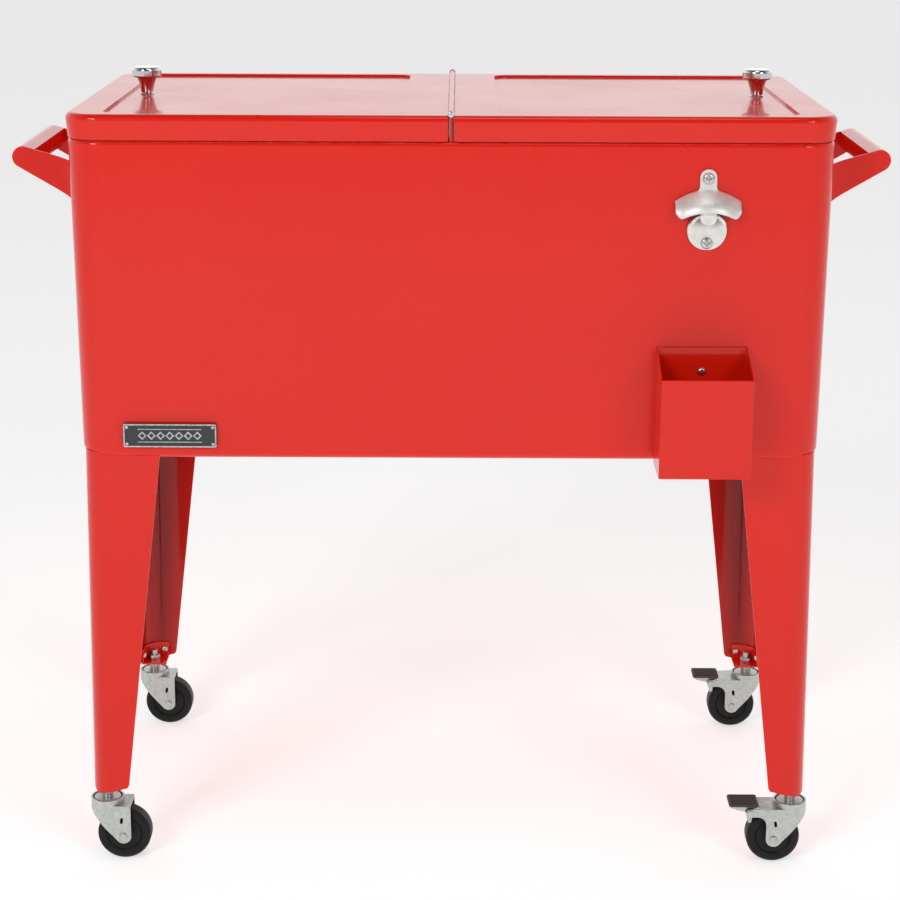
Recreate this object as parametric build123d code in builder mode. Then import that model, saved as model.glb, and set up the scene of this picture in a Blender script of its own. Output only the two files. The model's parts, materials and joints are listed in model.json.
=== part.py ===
from build123d import *
from math import radians, tan
import os

# Rolling patio cooler: an insulated steel tub with a split lid, on four pressed legs with swivel
# casters. Millimetres. X runs along the front to the right, Y to the back, Z up from the floor.
# The origin is on the floor, under the middle of the whole object.

os.makedirs("parts", exist_ok=True)

# ---- driving dimensions ----

sheet = 1.2  # painted steel sheet of the tub, lid and leg pressings
plate = 2.0  # thicker steel of handles, brackets and casters

lid_half_x = 390.0
lid_half_y = 215.0
lid_top_z = 812.0
lid_skirt_z = 786.4
lid_draft = 2.0  # how far the skirt draws in, from top to bottom
lid_edge_r = 6.0
corner_r = 36.0  # plan radius of the tub and lid corners
lid_gap = 3.0  # from the middle to each half's hinge side

tub_rim_z = 785.8
tub_floor_z = 456.0
tub_draft = 3.0
tub_rim_r = 4.0
tub_base_r = 10.0

liner_half_x = 368.5  # mouth of the white inner tub
liner_half_y = 193.5
liner_wall = 2.5
liner_floor_z = 484.0  # inside floor of the inner tub
liner_draft = 6.0
liner_lip = 14.0  # width of the inner tub's lip, under the steel rim

leg_foot_z = 74.0
leg_inset = 6.0  # the leg's outer faces inside the tub's widest line, at the top
leg_splay_x = 5.0  # how far each leg's foot stands out beyond its top, along X and Y
leg_splay_y = 1.0
leg_corner_r = 25.0
leg_top_width = 81.0
leg_foot_width = 41.0
leg_foot_slope = 15.0  # degrees, of the cut along the foot

wheel_r = 29.0
wheel_width = 22.0
caster_trail = 18.0
caster_inset = 15.0  # swivel axis inside the leg's outer faces at the foot
crown_z = 64.0  # top of the fork's flat crown
cup_r = 18.0
cup_rim_z = 70.0
fork_half = 17.0  # half the fork's outer width

handle_half_span = 92.0
handle_reach = 463.3
handle_end_r = 11.3
handle_end_z = 752.8

knob_x = 331.0
knob_top_z = 839.0
catcher_x = 257.5
catcher_width = 93.0
catcher_depth = 62.0
opener_x = 258.0
opener_top_z = 760.4
nameplate_x = -289.3
nameplate_z = 482.3
drain_x = -250.0
sump_r = 20.0  # shallow well in the liner's floor around the drain
sump_depth = 4.0

clearance = 0.05  # radial clearance of a running fit
air = 0.2  # gap between pieces that only lie beside each other

# ---- places worked out from them ----

tub_half_x = lid_half_x - lid_draft
tub_half_y = lid_half_y - lid_draft
catcher_back_y = tub_half_y - 0.5
lid_wide_y = lid_half_y - lid_draft * lid_edge_r / (lid_top_z - lid_skirt_z)  # below the edge's round
tub_y = (catcher_back_y + catcher_depth - lid_wide_y) / 2  # the tub stands this far behind the origin

leg_top_x = tub_half_x - leg_inset
leg_top_y = tub_half_y - leg_inset
foot_x = leg_top_x + leg_splay_x
foot_y = leg_top_y + leg_splay_y
caster_x = foot_x - caster_inset
caster_y = foot_y - caster_inset

hinge_z = lid_top_z + 1.5
barrel_r = 2.8
hinge_pin_r = 1.5


def level(height):
    """Horizontal plane at a height, centred on the tub."""
    return Plane((0, tub_y, height))


def facing_front(y=0.0):
    """Upright plane at y from the tub's middle, looking to the front, with its own y up."""
    return Plane(origin=(0, tub_y + y, 0), x_dir=(1, 0, 0), z_dir=(0, -1, 0))


def facing_side(x=0.0):
    """Upright plane at x, looking to +X. Its own x runs to the back and its own y up."""
    return Plane(origin=(x, tub_y, 0), x_dir=(0, 1, 0), z_dir=(1, 0, 0))


def corner_level(height):
    """Horizontal plane centred on the front left caster's swivel axis, its x along the trail."""
    return Plane((-caster_x, tub_y - caster_y, height))


left_right = Plane.YZ
front_back = Plane(origin=(0, tub_y, 0), x_dir=(1, 0, 0), z_dir=(0, 1, 0))
# upright plane through the front left caster's swivel axis, its x along the trail
corner_side = Plane(origin=(-caster_x, tub_y - caster_y, 0), x_dir=(1, 0, 0), z_dir=(0, -1, 0))


def tub_plan(inset):
    """Half sizes of the tub's plan at its floor and at its rim, drawn in by inset."""
    low = (tub_half_x - tub_draft - inset, tub_half_y - tub_draft - inset)
    high = (tub_half_x - inset, tub_half_y - inset)
    return low, high


def lid_plan(inset):
    """Half sizes of the whole lid's plan at its skirt and at its top, drawn in by inset."""
    low = (lid_half_x - lid_draft - inset, lid_half_y - lid_draft - inset)
    high = (lid_half_x - inset, lid_half_y - inset)
    return low, high


def tapered_block(low_z, high_z, plans, radius, bottom_r=0.0, top_r=0.0):
    """A solid between two rounded rectangles, with its lower and upper edges rounded."""
    with BuildPart() as block:
        for height, half in zip((low_z, high_z), plans):
            with BuildSketch(level(height)):
                RectangleRounded(2 * half[0], 2 * half[1], radius)
        loft()
        if bottom_r:
            fillet(block.faces().sort_by(Axis.Z)[0].edges(), bottom_r)
        if top_r:
            fillet(block.faces().sort_by(Axis.Z)[-1].edges(), top_r)
    return block.part


def write_mirrored(piece, label, about):
    """Writes the mirror image of a finished piece under its own name."""
    with BuildPart() as image:
        add(mirror(piece, about=about, mode=Mode.PRIVATE))
    image.part.label = label
    export_step(image.part, f"parts/{label}.step")
    return image.part


def fasteners(plane, spots, head_r, head_height, shank_r, shank_length, cross=True):
    """Round-headed screws on a plane, one solid at each spot: heads in front of it, shanks behind."""
    with BuildPart() as screws:
        with BuildSketch(plane):
            with Locations(*spots):
                Circle(head_r)
        extrude(amount=head_height)
        crowns = screws.faces().filter_by(Plane(plane.origin, z_dir=plane.z_dir))
        top = max(plane.to_local_coords(face.center()).Z for face in crowns)
        tops = [face for face in crowns if plane.to_local_coords(face.center()).Z > top - 0.01]
        fillet([edge for face in tops for edge in face.edges()], 0.75 * head_height)
        if cross:
            with BuildSketch(plane.offset(head_height)):
                with Locations(*spots):
                    Rectangle(1.1 * head_r, 0.22 * head_r)
                    Rectangle(0.22 * head_r, 1.1 * head_r)
            extrude(amount=-0.55 * head_height, mode=Mode.SUBTRACT)
        with BuildSketch(plane):
            with Locations(*spots):
                Circle(shank_r)
        extrude(amount=-shank_length)
    return screws.part


# ---- screws and rivets that pass into the tub ----

handle_wall_x = tub_half_x + 0.1
handle_screw_y = handle_half_span + 44.0
handle_screw_z = 720.0
opener_plate = 3.0
opener_face_y = catcher_back_y + opener_plate
opener_screw_zs = (opener_top_z - 9.2, opener_top_z - 74.5)
catcher_screw_z = 553.0
nameplate_thick = 2.2
nameplate_half = (48.0, 12.3)
rivet_spots = [
    (nameplate_x + side * (nameplate_half[0] - 3.4), nameplate_z + up * (nameplate_half[1] - 3.4))
    for side in (-1, 1)
    for up in (-1, 1)
]

handle_screw_sides = []
for end in (-1, 1):
    outside = Plane((end * (handle_wall_x + plate), tub_y, 0), x_dir=(0, 1, 0), z_dir=(end, 0, 0))
    spots = [(y, end * handle_screw_z) for y in (-handle_screw_y, handle_screw_y)]
    handle_screw_sides.append((outside, spots))

with BuildPart() as handle_screws:
    for outside, spots in handle_screw_sides:
        add(fasteners(outside, spots, 5.5, 4.0, 2.5, 9.0))
handle_screws.part.label = "handle_screws"
export_step(handle_screws.part, "parts/handle_screws.step")

opener_screw_spots = [(opener_x, z) for z in opener_screw_zs]

with BuildPart() as opener_screws:
    add(fasteners(facing_front(-opener_face_y), opener_screw_spots, 5.8, 3.4, 2.2, 10.0))
opener_screws.part.label = "opener_screws"
export_step(opener_screws.part, "parts/opener_screws.step")

catcher_screw_spot = [(catcher_x, catcher_screw_z)]

with BuildPart() as catcher_screw:
    bin_inside = facing_front(-catcher_back_y - sheet)
    add(fasteners(bin_inside, catcher_screw_spot, 4.2, 3.2, 2.2, 10.0, cross=False))
catcher_screw.part.label = "catcher_screw"
export_step(catcher_screw.part, "parts/catcher_screw.step")

with BuildPart() as nameplate_rivets:
    plate_face = facing_front(-catcher_back_y - nameplate_thick)
    add(fasteners(plate_face, rivet_spots, 1.9, 1.2, 1.2, 7.0, cross=False))
nameplate_rivets.part.label = "nameplate_rivets"
export_step(nameplate_rivets.part, "parts/nameplate_rivets.step")

leg_flange_z = tub_floor_z - air  # top of each leg's flange
leg_bolt_spots = [
    (side_x * (leg_top_x - x), side_y * (leg_top_y - y))
    for side_x in (-1, 1)
    for side_y in (-1, 1)
    for x, y in ((24, 24), (62, 20), (20, 62))
]
under_flange = Plane((0, tub_y, leg_flange_z - sheet), x_dir=(1, 0, 0), z_dir=(0, 0, -1))

with BuildPart() as leg_bolts:
    add(fasteners(under_flange, leg_bolt_spots, 6.0, 3.5, 3.0, 10.0))
leg_bolts.part.label = "leg_bolts"
export_step(leg_bolts.part, "parts/leg_bolts.step")

tub_fasteners = (handle_screws, opener_screws, catcher_screw, nameplate_rivets, leg_bolts)


def pockets(plane, spots, radius, depth):
    """Square pegs through a plane, one at each spot, to cut the foam away from the shanks."""
    with BuildPart() as pegs:
        with BuildSketch(plane):
            with Locations(*spots):
                Rectangle(2 * radius, 2 * radius)
        extrude(amount=depth, both=True)
    return pegs.part


foam_pockets = [pockets(outside, spots, 3.0, 10.0) for outside, spots in handle_screw_sides]
foam_pockets.append(pockets(facing_front(-tub_half_y), opener_screw_spots, 2.8, 9.5))
foam_pockets.append(pockets(facing_front(-tub_half_y), catcher_screw_spot, 2.8, 10.5))
foam_pockets.append(pockets(facing_front(-tub_half_y), rivet_spots, 1.8, 9.0))
foam_pockets.append(pockets(under_flange, leg_bolt_spots, 3.5, 11.0))

# ---- tub ----

tub_outside = tapered_block(tub_floor_z, tub_rim_z, tub_plan(0), corner_r, tub_base_r, tub_rim_r)
tub_inside = tapered_block(
    tub_floor_z + sheet, tub_rim_z - sheet, tub_plan(sheet), corner_r - sheet, tub_base_r - sheet
)

with BuildPart() as tub_shell:
    add(tub_outside)
    add(tub_inside, mode=Mode.SUBTRACT)
    with BuildSketch(level(tub_rim_z - 2 * sheet)):
        RectangleRounded(2 * liner_half_x + 1, 2 * liner_half_y + 1, corner_r - 15)
    extrude(amount=4 * sheet, mode=Mode.SUBTRACT)
    with BuildSketch(level(tub_floor_z - 1)):
        with Locations((drain_x, 0)):
            Circle(10.2)
    extrude(amount=4, mode=Mode.SUBTRACT)
    for group in tub_fasteners:
        add(group.part, mode=Mode.SUBTRACT)
tub_shell.part.label = "tub_shell"
export_step(tub_shell.part, "parts/tub_shell.step")

liner_low = (liner_half_x - liner_draft, liner_half_y - liner_draft)
liner_plans = (liner_low, (liner_half_x, liner_half_y))
liner_skin = tuple((x + liner_wall, y + liner_wall) for x, y in liner_plans)
lip_top_z = tub_rim_z - sheet - air
sump_z = liner_floor_z - sump_depth
liner_corner_r = corner_r - 15
liner_outside = tapered_block(
    liner_floor_z - liner_wall, lip_top_z, liner_skin, liner_corner_r + liner_wall, 14 + liner_wall
)
liner_inside = tapered_block(liner_floor_z, lip_top_z, liner_plans, liner_corner_r, 14)

with BuildPart() as tub_liner:
    add(liner_outside)
    with BuildSketch(level(lip_top_z - liner_wall)):
        RectangleRounded(
            2 * (liner_half_x + liner_lip), 2 * (liner_half_y + liner_lip), liner_corner_r + liner_lip
        )
    extrude(amount=liner_wall)
    add(liner_inside, mode=Mode.SUBTRACT)
    with BuildSketch(level(sump_z - liner_wall)):
        with Locations((drain_x, 0)):
            Circle(sump_r + liner_wall)
    extrude(amount=liner_floor_z - 1 - sump_z + liner_wall)
    with BuildSketch(level(sump_z)):
        with Locations((drain_x, 0)):
            Circle(sump_r)
    extrude(amount=3 * sump_depth, mode=Mode.SUBTRACT)
    with BuildSketch(level(sump_z - 2 * liner_wall)):
        with Locations((drain_x, 0)):
            Circle(10.2)
    extrude(amount=4 * liner_wall, mode=Mode.SUBTRACT)
tub_liner.part.label = "tub_liner"
export_step(tub_liner.part, "parts/tub_liner.step")

foam_outside = tapered_block(
    tub_floor_z + sheet + air,
    lip_top_z - liner_wall - air,
    tub_plan(sheet + air),
    corner_r - sheet,
    tub_base_r,
)
foam_inside = tapered_block(
    liner_floor_z - liner_wall - air,
    lip_top_z,
    tuple((x + air, y + air) for x, y in liner_skin),
    liner_corner_r + liner_wall,
    14 + liner_wall,
)

with BuildPart() as tub_insulation:
    add(foam_outside)
    add(foam_inside, mode=Mode.SUBTRACT)
    with BuildSketch(level(tub_floor_z)):
        with Locations((drain_x, 0)):
            Circle(11)
    extrude(amount=40, mode=Mode.SUBTRACT)
    with BuildSketch(level(sump_z - liner_wall - air)):
        with Locations((drain_x, 0)):
            Circle(sump_r + liner_wall + air)
    extrude(amount=40, mode=Mode.SUBTRACT)
    for group in foam_pockets:
        add(group, mode=Mode.SUBTRACT)
tub_insulation.part.label = "tub_insulation"
export_step(tub_insulation.part, "parts/tub_insulation.step")

# drain: a flanged spout clamped through the floor by a nut below, with a push-in plug
drain_bore_r = 7.0
spout_foot_z = 442.0

with BuildPart() as drain_spout:
    with BuildSketch(level(spout_foot_z)):
        with Locations((drain_x, 0)):
            Circle(10)
    extrude(amount=sump_z - spout_foot_z)
    with BuildSketch(level(sump_z)):
        with Locations((drain_x, 0)):
            Circle(16)
    extrude(amount=2)
    chamfer(drain_spout.faces().sort_by(Axis.Z)[-1].edges(), 1.2)
    with BuildSketch(level(spout_foot_z)):
        with Locations((drain_x, 0)):
            Circle(drain_bore_r)
    extrude(amount=60, mode=Mode.SUBTRACT)
drain_spout.part.label = "drain_spout"
export_step(drain_spout.part, "parts/drain_spout.step")

with BuildPart() as drain_nut:
    with BuildSketch(level(tub_floor_z)):
        with Locations((drain_x, 0)):
            RegularPolygon(radius=16, side_count=6)
            Circle(10, mode=Mode.SUBTRACT)
    extrude(amount=-6)
drain_nut.part.label = "drain_nut"
export_step(drain_nut.part, "parts/drain_nut.step")

with BuildPart() as drain_plug:
    with BuildSketch(level(spout_foot_z - air)):
        with Locations((drain_x, 0)):
            Circle(13)
    extrude(amount=-5)
    fillet(drain_plug.edges(), 1.5)
    with BuildSketch(level(spout_foot_z - 2)):
        with Locations((drain_x, 0)):
            Circle(drain_bore_r - clearance)
    extrude(amount=22)
    chamfer(drain_plug.faces().sort_by(Axis.Z)[-1].edges(), 1.5)
drain_plug.part.label = "drain_plug"
export_step(drain_plug.part, "parts/drain_plug.step")

# ---- centre bar and hinge pin ----

bar_half_x = 22.0
bar_top_z = tub_rim_z + sheet
fin_half = 1.25
lug_length = 6.0
barrel_end_y = tub_half_y - 1.0

with BuildPart() as centre_bar:
    with BuildSketch(level(tub_rim_z)):
        Rectangle(2 * bar_half_x, 2 * (liner_half_y + 9))
    extrude(amount=sheet)
    with BuildSketch(level(bar_top_z)):
        with Locations((bar_half_x - sheet / 2, 0), (sheet / 2 - bar_half_x, 0)):
            Rectangle(sheet, 2 * liner_half_y - 6)
    extrude(amount=-22)
    with BuildSketch(level(tub_rim_z)):
        Rectangle(2 * fin_half, 2 * barrel_end_y)
    extrude(amount=hinge_z - barrel_r - 1.0 - tub_rim_z)
    for end in (-1, 1):
        lug_y = end * (barrel_end_y - lug_length / 2)
        with BuildSketch(facing_front(lug_y)):
            with Locations((0, hinge_z)):
                Circle(barrel_r)
            with Locations((0, hinge_z - barrel_r)):
                Rectangle(2 * fin_half, 4)
        extrude(amount=lug_length / 2, both=True)
    with BuildSketch(facing_front()):
        with Locations((0, hinge_z)):
            Circle(hinge_pin_r)
    extrude(amount=lid_half_y, both=True, mode=Mode.SUBTRACT)
centre_bar.part.label = "centre_bar"
export_step(centre_bar.part, "parts/centre_bar.step")

with BuildPart() as hinge_pin:
    with BuildSketch(facing_front()):
        with Locations((0, hinge_z)):
            Circle(hinge_pin_r)
    extrude(amount=barrel_end_y, both=True)
    for end in (-1, 1):
        with BuildSketch(facing_front(end * (barrel_end_y + 0.9))):
            with Locations((0, hinge_z)):
                Circle(3.4)
        extrude(amount=0.9, both=True)
    fillet(hinge_pin.faces().sort_by(Axis.Y)[0].edges(), 1.4)
    fillet(hinge_pin.faces().sort_by(Axis.Y)[-1].edges(), 1.4)
hinge_pin.part.label = "hinge_pin"
export_step(hinge_pin.part, "parts/hinge_pin.step")

# ---- lid: each piece is made for the left half and mirrored to the right ----

recess_depth = 2.5
recess_outer_x = 351.0
recess_inner_x = 49.0
recess_half_y = 196.0
recess_r = 15.0
recess_mid_x = -(recess_outer_x + recess_inner_x) / 2
leaf_width = 24.0
leaf_z = lid_top_z - sheet  # top of the hinge leaf, under the lid's sheet
lid_pan_z = bar_top_z + 0.4  # underside of the lid's white pan

lid_outside = tapered_block(lid_skirt_z, lid_top_z, lid_plan(0), corner_r, top_r=lid_edge_r)
lid_inside = tapered_block(
    lid_skirt_z, lid_top_z - sheet, lid_plan(sheet), corner_r - sheet, top_r=lid_edge_r - sheet
)


def recess_block(grow, low_z, high_z):
    """The pressed panel's outline, grown by some sheet, between two heights."""
    with BuildPart() as block:
        with BuildSketch(level(low_z)):
            with Locations((recess_mid_x, 0)):
                RectangleRounded(
                    recess_outer_x - recess_inner_x + 2 * grow,
                    2 * (recess_half_y + grow),
                    recess_r + grow,
                )
        extrude(amount=high_z - low_z)
    return block.part


recess_pocket = recess_block(0, lid_top_z - recess_depth, lid_top_z + 1)
recess_floor = recess_block(sheet, lid_top_z - recess_depth - sheet, lid_top_z)

with BuildPart() as lid_cavity:
    add(lid_inside)
    add(recess_floor, mode=Mode.SUBTRACT)

with BuildPart() as lid_shell_left:
    add(lid_outside)
    add(lid_cavity.part, mode=Mode.SUBTRACT)
    add(recess_pocket, mode=Mode.SUBTRACT)
    with BuildSketch(level(lid_skirt_z - 1)):
        with Locations((-lid_gap, 0)):
            Rectangle(lid_half_x + 10, 2 * lid_half_y + 10, align=(Align.MAX, Align.CENTER))
    extrude(amount=40, mode=Mode.INTERSECT)
    with BuildSketch(level(lid_skirt_z)):
        with Locations((-knob_x, 0)):
            Circle(3)
    extrude(amount=40, mode=Mode.SUBTRACT)
lid_shell_left.part.label = "lid_shell_left"
export_step(lid_shell_left.part, "parts/lid_shell_left.step")
write_mirrored(lid_shell_left.part, "lid_shell_right", left_right)


def hinge_leaf(front_half):
    """The strip that closes the left half's hinge side, with a knuckle along half its length."""
    knuckle_length = barrel_end_y - lug_length - 1.0
    knuckle_mid = (knuckle_length / 2 + 0.5) * (-1 if front_half else 1)
    strip_half_y = lid_half_y - lid_edge_r - sheet
    with BuildPart() as leaf:
        with BuildSketch(facing_front()):
            with Locations((-lid_gap, leaf_z - air)):
                Rectangle(leaf_width, sheet, align=(Align.MAX, Align.MAX))
                Rectangle(sheet, leaf_z - bar_top_z - 0.8, align=(Align.MAX, Align.MAX))
        extrude(amount=strip_half_y, both=True)
        with BuildSketch(facing_front(knuckle_mid)):
            with Locations((0, hinge_z)):
                Circle(barrel_r)
            with BuildLine():
                Polyline(
                    (-lid_gap, leaf_z - air - sheet),
                    (-fin_half - 0.4, leaf_z - air - sheet),
                    (-fin_half - 0.4, hinge_z - 1.0),
                    (-barrel_r + 0.1, hinge_z - 0.8),
                    (-lid_gap, leaf_z - air),
                    close=True,
                )
            make_face()
            with Locations((0, hinge_z)):
                Circle(hinge_pin_r + clearance, mode=Mode.SUBTRACT)
        extrude(amount=knuckle_length / 2, both=True)
    return leaf.part


with BuildPart() as lid_hinge_left:
    add(hinge_leaf(front_half=True))
lid_hinge_left.part.label = "lid_hinge_left"
export_step(lid_hinge_left.part, "parts/lid_hinge_left.step")
write_mirrored(hinge_leaf(front_half=False), "lid_hinge_right", left_right)

pan_wall = 2.0
pan_rim_z = lid_pan_z + 12


def pan_block(low_z, high_z, inset, radius, bottom_r=0.0):
    """An upright block inside the lid's skirt, the same size all the way up."""
    plan = lid_plan(sheet + 1.0 + inset)[0]
    return tapered_block(low_z, high_z, (plan, plan), radius, bottom_r)


pan_outside = pan_block(lid_pan_z, pan_rim_z, 0, corner_r - 2, 3)
pan_inside = pan_block(lid_pan_z + pan_wall, pan_rim_z, pan_wall, corner_r - 4, 2)
pan_gap = lid_gap + 2 * sheet  # from the middle to the pan, past the hinge strip


def left_half(piece, from_middle):
    """The part of a whole-lid solid that lies left of the hinge."""
    with BuildPart() as half:
        add(piece)
        with BuildSketch(level(lid_skirt_z - 1)):
            with Locations((-from_middle, 0)):
                Rectangle(lid_half_x + 10, 2 * lid_half_y + 10, align=(Align.MAX, Align.CENTER))
        extrude(amount=40, mode=Mode.INTERSECT)
    return half.part


with BuildPart() as lid_liner_left:
    add(left_half(pan_outside, pan_gap))
    add(left_half(pan_inside, pan_gap + pan_wall), mode=Mode.SUBTRACT)
lid_liner_left.part.label = "lid_liner_left"
export_step(lid_liner_left.part, "parts/lid_liner_left.step")
write_mirrored(lid_liner_left.part, "lid_liner_right", left_right)

foam_low_z = lid_pan_z + pan_wall + air
foam_block = pan_block(foam_low_z, leaf_z - sheet - 3 * air, pan_wall + air, corner_r - 4, 3)
foam_dip = recess_block(sheet + air, lid_top_z - recess_depth - sheet - air, lid_top_z)

with BuildPart() as lid_insulation_left:
    add(left_half(foam_block, pan_gap + pan_wall + air))
    add(foam_dip, mode=Mode.SUBTRACT)
    with BuildSketch(level(foam_low_z)):
        with Locations((-knob_x, 0)):
            Circle(6.5)
    extrude(amount=40, mode=Mode.SUBTRACT)
lid_insulation_left.part.label = "lid_insulation_left"
export_step(lid_insulation_left.part, "parts/lid_insulation_left.step")
write_mirrored(lid_insulation_left.part, "lid_insulation_right", left_right)

# knob: a flat round head on a waisted foot, held from below by a screw
knob_foot_z = lid_top_z - recess_depth
knob_head_r = 16.0
knob_axis = Plane(origin=(-knob_x, tub_y, 0), x_dir=(1, 0, 0), z_dir=(0, -1, 0))

with BuildPart() as lid_knob_left:
    with BuildSketch(knob_axis):
        with BuildLine():
            Line((0, knob_foot_z), (7.5, knob_foot_z))
            Line((7.5, knob_foot_z), (7.5, knob_foot_z + 1.2))
            Line((7.5, knob_foot_z + 1.2), (6.5, knob_foot_z + 2.0))
            Spline(
                (6.5, knob_foot_z + 2.0),
                (7.4, knob_foot_z + 8.0),
                (10.5, knob_foot_z + 17.5),
                tangents=((0, 1), (0.45, 1)),
            )
            Polyline(
                (10.5, knob_foot_z + 17.5),
                (knob_head_r - 1.5, knob_foot_z + 19.0),
                (knob_head_r, knob_foot_z + 20.5),
                (knob_head_r, knob_top_z - 3.5),
            )
            RadiusArc((knob_head_r, knob_top_z - 3.5), (knob_head_r - 3.5, knob_top_z), -3.5)
            Polyline((knob_head_r - 3.5, knob_top_z), (0, knob_top_z), (0, knob_foot_z))
        make_face()
    revolve(axis=Axis((-knob_x, tub_y, 0), (0, 0, 1)))
    with BuildSketch(Plane((-knob_x, tub_y, knob_foot_z))):
        Circle(2.5)
    extrude(amount=12, mode=Mode.SUBTRACT)
lid_knob_left.part.label = "lid_knob_left"
export_step(lid_knob_left.part, "parts/lid_knob_left.step")
write_mirrored(lid_knob_left.part, "lid_knob_right", left_right)

with BuildPart() as knob_screw_left:
    with BuildSketch(Plane((-knob_x, tub_y, knob_foot_z - sheet))):
        Circle(5)
    extrude(amount=-3)
    fillet(knob_screw_left.faces().sort_by(Axis.Z)[0].edges(), 1.5)
    with BuildSketch(Plane((-knob_x, tub_y, knob_foot_z - sheet - 1))):
        Circle(2.45)
    extrude(amount=12)
knob_screw_left.part.label = "knob_screw_left"
export_step(knob_screw_left.part, "parts/knob_screw_left.step")
write_mirrored(knob_screw_left.part, "knob_screw_right", left_right)

# ---- handles: one bent pressing on each end ----

handle_z_low = 703.0  # foot of the handle at the tub's side
handle_z_high = 746.0
handle_end_x = handle_reach - handle_end_r
handle_bend_r = 30.0
flange_length = 26.0
grip_width = 12.5  # flat top of the grip, in from the round
grip_flange = 9.0
arm_bend_y = handle_half_span + handle_bend_r

with BuildPart() as handle_right:
    with BuildSketch(facing_front()):
        with Locations((handle_end_x, handle_end_z)):
            Circle(handle_end_r)
        with BuildLine():
            Polyline(
                (handle_wall_x, handle_z_low),
                (handle_wall_x + 1, handle_z_low),
                (handle_wall_x + 1, handle_z_high),
                (handle_wall_x, handle_z_high),
                close=True,
            )
        make_face()
        make_hull()
    extrude(amount=arm_bend_y + flange_length, both=True)
    with BuildSketch(level(handle_z_low - 1)):
        for side in (-1, 1):
            with BuildLine():
                arm = Line(
                    (handle_reach, side * (handle_half_span - plate / 2)),
                    (handle_wall_x + handle_bend_r, side * (handle_half_span - plate / 2)),
                )
                bend = TangentArc(
                    arm @ 1,
                    (handle_wall_x + plate / 2, side * (arm_bend_y - 1.5 * plate)),
                    tangent=arm % 1,
                )
                Line(bend @ 1, (handle_wall_x + plate / 2, side * (arm_bend_y + flange_length - 4)))
            trace(line_width=plate)
        with Locations((handle_end_x - grip_width, 0)):
            Rectangle(60, 2 * handle_half_span, align=(Align.MIN, Align.CENTER))
    extrude(amount=80, mode=Mode.INTERSECT)
    with BuildSketch(facing_front()):
        with Locations((handle_end_x, handle_end_z)):
            Circle(handle_end_r - plate)
            with Locations((0, -plate)):
                Rectangle(
                    grip_width - plate, 2 * handle_end_r - plate, align=(Align.MAX, Align.CENTER)
                )
            with Locations((-grip_width + plate + 0.01, -handle_end_r - grip_flange)):
                Rectangle(40, 2 * handle_end_r, align=(Align.MAX, Align.CENTER))
        with Locations((handle_wall_x, handle_end_z - 30 - handle_end_r + 2 * plate)):
            Rectangle(60, 60, align=(Align.MIN, Align.CENTER))
    extrude(amount=handle_half_span - plate, both=True, mode=Mode.SUBTRACT)
    add(handle_screws.part, mode=Mode.SUBTRACT)
handle_right.part.label = "handle_right"
export_step(handle_right.part, "parts/handle_right.step")
write_mirrored(handle_right.part, "handle_left", left_right)

# ---- things on the front: cap bin, bottle opener, nameplate ----

catcher_back_z = 578.0
catcher_front_z = 557.0
catcher_floor_z = 455.0

with BuildPart() as cap_catcher:
    with BuildSketch(facing_side(catcher_x)):
        with BuildLine():
            Polyline(
                (-catcher_back_y, catcher_floor_z),
                (-catcher_back_y - catcher_depth, catcher_floor_z),
                (-catcher_back_y - catcher_depth, catcher_front_z),
                (-catcher_back_y, catcher_back_z),
                close=True,
            )
        make_face()
    extrude(amount=catcher_width / 2, both=True)
    fillet(cap_catcher.edges().filter_by(Axis.Z).group_by(Axis.Y)[0], 1.8)
    with BuildSketch(level(catcher_floor_z + sheet)):
        with Locations((catcher_x, -catcher_back_y - catcher_depth / 2)):
            Rectangle(catcher_width - 2 * sheet, catcher_depth - 2 * sheet)
    extrude(amount=200, mode=Mode.SUBTRACT)
    add(catcher_screw.part, mode=Mode.SUBTRACT)
cap_catcher.part.label = "cap_catcher"
export_step(cap_catcher.part, "parts/cap_catcher.step")

# bottle opener: a tongue and a disc against the tub, a hood over the disc, and a tooth below it
tongue_half = 8.7
disc_r = 20.0
disc_z = opener_top_z - 62.0
hood_half = 34.2
hood_wall = 3.0
hood_reach = 23.0
hood_top_z = opener_top_z - 19.0
hood_low_z = opener_top_z - 50.0
hood_arch_z = opener_top_z - 43.5
opener_back = Plane(origin=(opener_x, tub_y - catcher_back_y, 0), x_dir=(1, 0, 0), z_dir=(0, -1, 0))


def hood_block(inset, drop, start):
    """The hood's outline from the front, extruded from start and cut to its curved side profile."""
    reach = hood_reach - inset
    top_z = hood_top_z - 1.5 * inset
    half = hood_half - inset
    low_z = hood_low_z - drop
    with BuildPart() as block:
        with BuildSketch(opener_back.offset(start)):
            with BuildLine():
                ThreePointArc((-half, top_z - 18), (-0.62 * half, top_z - 7), (-9 + inset, top_z))
                Line((-9 + inset, top_z), (9 - inset, top_z))
                ThreePointArc((9 - inset, top_z), (0.62 * half, top_z - 7), (half, top_z - 18))
                Line((half, top_z - 18), (half - 5, low_z))
                ThreePointArc((half - 5, low_z), (0, hood_arch_z - drop), (5 - half, low_z))
                Line((5 - half, low_z), (-half, top_z - 18))
            make_face()
        extrude(amount=hood_reach + 10)
        with BuildSketch(facing_side(opener_x)):
            with BuildLine():
                face = -catcher_back_y - start
                Line((face, low_z - 2), (face, top_z + 2))
                ThreePointArc(
                    (face, top_z + 2), (face - 0.7 * reach, top_z - 9), (face - reach, low_z - 2)
                )
                Line((face - reach, low_z - 2), (face, low_z - 2))
            make_face()
        extrude(amount=60, both=True, mode=Mode.INTERSECT)
    return block.part


hood_outside = hood_block(0, 0, 0)
hood_inside = hood_block(hood_wall, 6, -1)

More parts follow.
